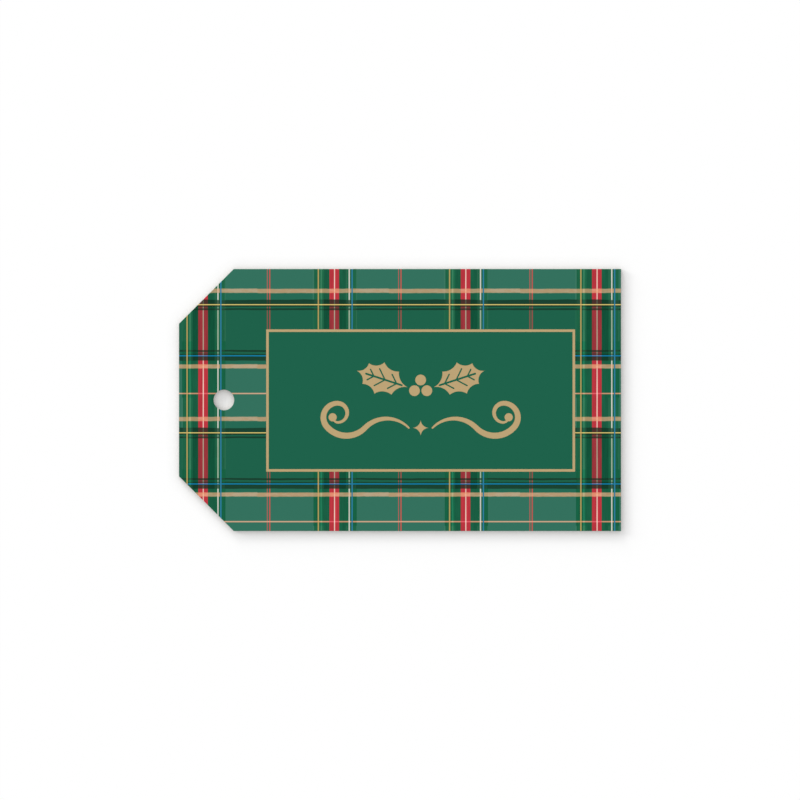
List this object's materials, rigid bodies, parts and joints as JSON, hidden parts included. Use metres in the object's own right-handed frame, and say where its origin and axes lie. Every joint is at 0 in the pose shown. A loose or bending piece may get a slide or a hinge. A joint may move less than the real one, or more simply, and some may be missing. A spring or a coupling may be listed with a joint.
{
  "type": "gift tag",
  "caption": "Flat rectangular card gift tag with clipped corners and a punched cord hole at one end, glued paper plies, a tartan face and a stamped gold foil border and holly ornament.",
  "frame": {"origin": "centre of the back face, on the surface that the tag lies on", "axes": "+X from the hole end to the square end, +Y towards the upper edge of the printed face, +Z out of the printed face"},
  "size_m": [0.0856, 0.0508, 0.0008],
  "materials": {
    "plain_paper": "matte uncoated white paper",
    "printed_paper": "matte coated paper printed with a green tartan",
    "board": "uncoated off-white board",
    "glue": "dried white laminating glue",
    "gold_foil": "satin gold hot-stamping foil"
  },
  "bodies": {
    "root": {"back_sheet": "plain_paper", "back_glue": "glue", "core_board": "board", "front_glue": "glue", "front_sheet": "printed_paper", "foil_border": "gold_foil", "holly_berries": "gold_foil", "holly_leaf_left": "gold_foil", "holly_leaf_right": "gold_foil", "scroll_left": "gold_foil", "scroll_right": "gold_foil", "scroll_star": "gold_foil"}
  },
  "joints": []
}
